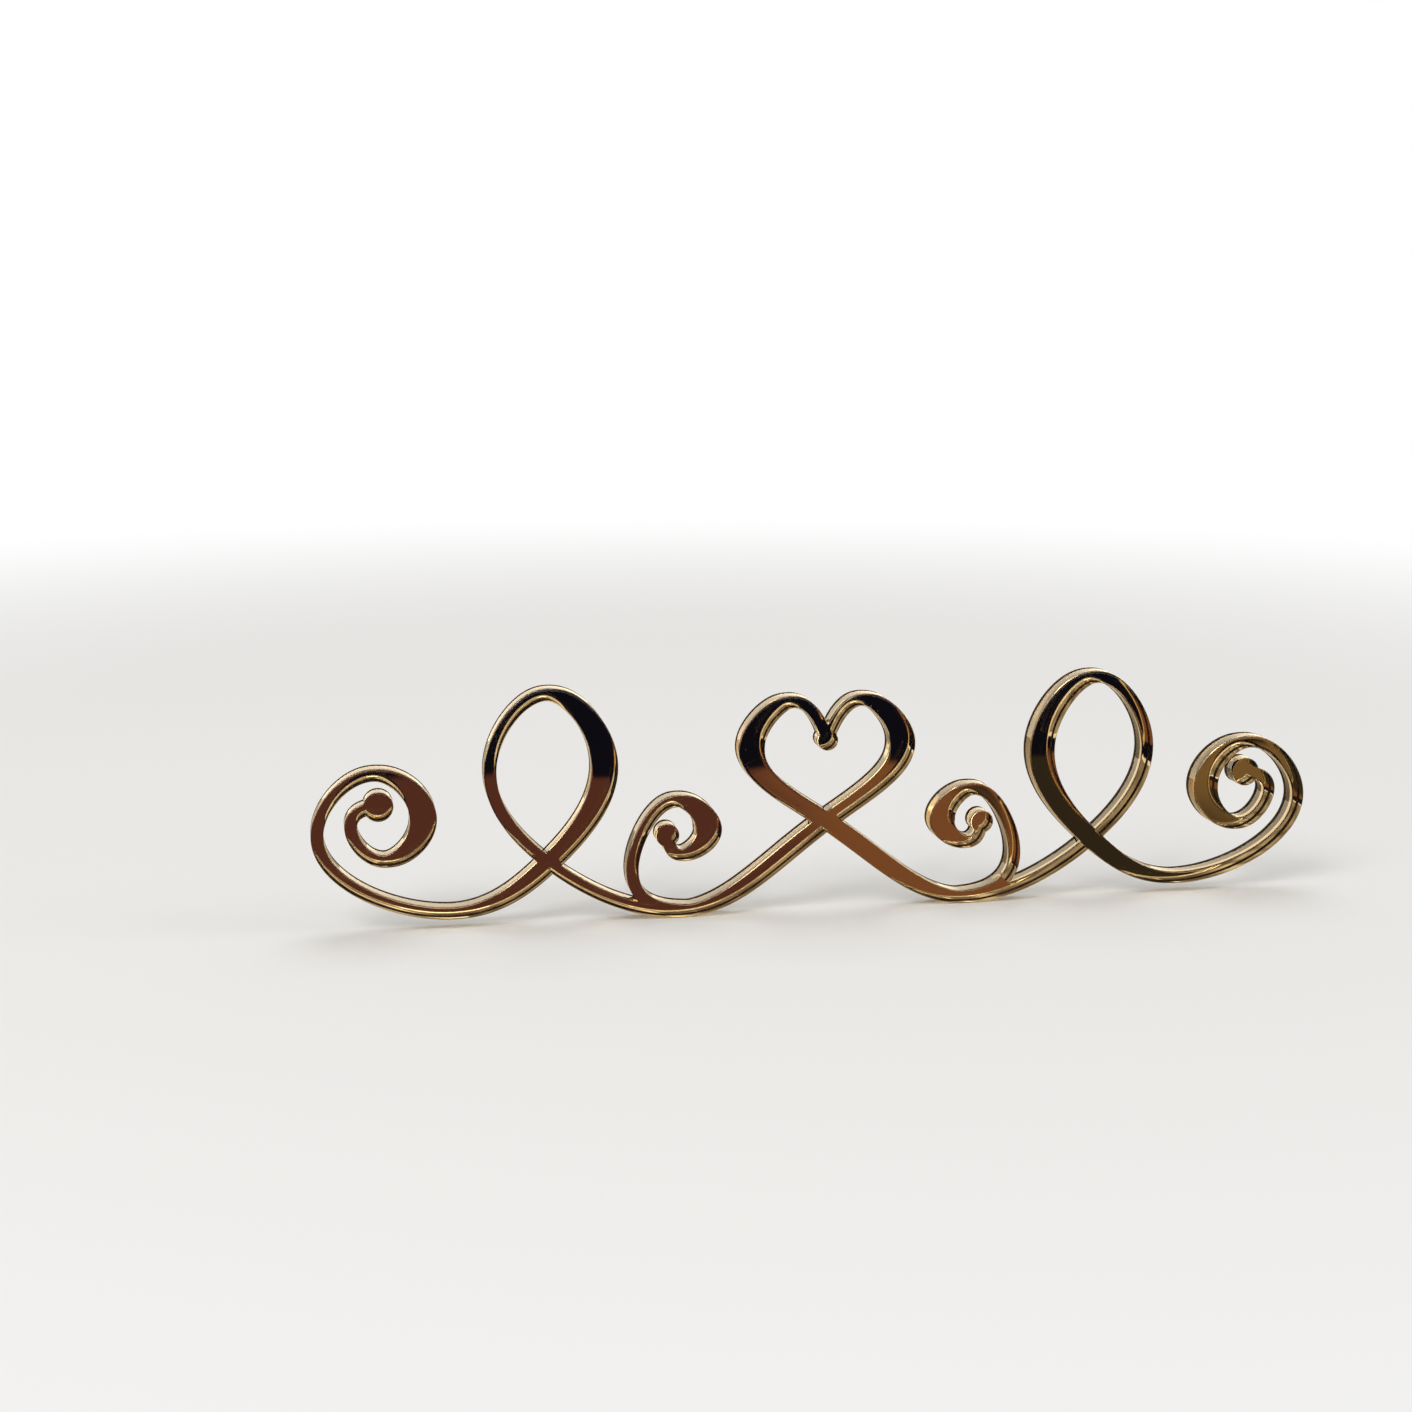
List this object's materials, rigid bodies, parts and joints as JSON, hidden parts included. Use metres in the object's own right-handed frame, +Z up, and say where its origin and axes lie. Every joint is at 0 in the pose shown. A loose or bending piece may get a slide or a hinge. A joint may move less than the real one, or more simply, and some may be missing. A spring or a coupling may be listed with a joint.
{
  "type": "cake topper",
  "caption": "Flat cake topper in gold mirror acrylic: a heart between tall pen loops and end curls, pressed by its back onto the front of the icing.",
  "frame": {"origin": "on the back face of the sheet, where the two arms cross under the heart", "axes": "+X along the length to the viewer's right, +Z up, +Y out of the back, so the mirror faces -Y"},
  "size_m": [0.14, 0.003, 0.0325],
  "materials": {
    "acrylic": "clear amber cast sheet, polished faces, laser cut edges",
    "film": "bright vacuum metallised mirror",
    "coat": "satin grey protective lacquer"
  },
  "bodies": {
    "root": {"acrylic_front": "acrylic", "mirror_film": "film", "back_coat": "coat"}
  },
  "joints": []
}
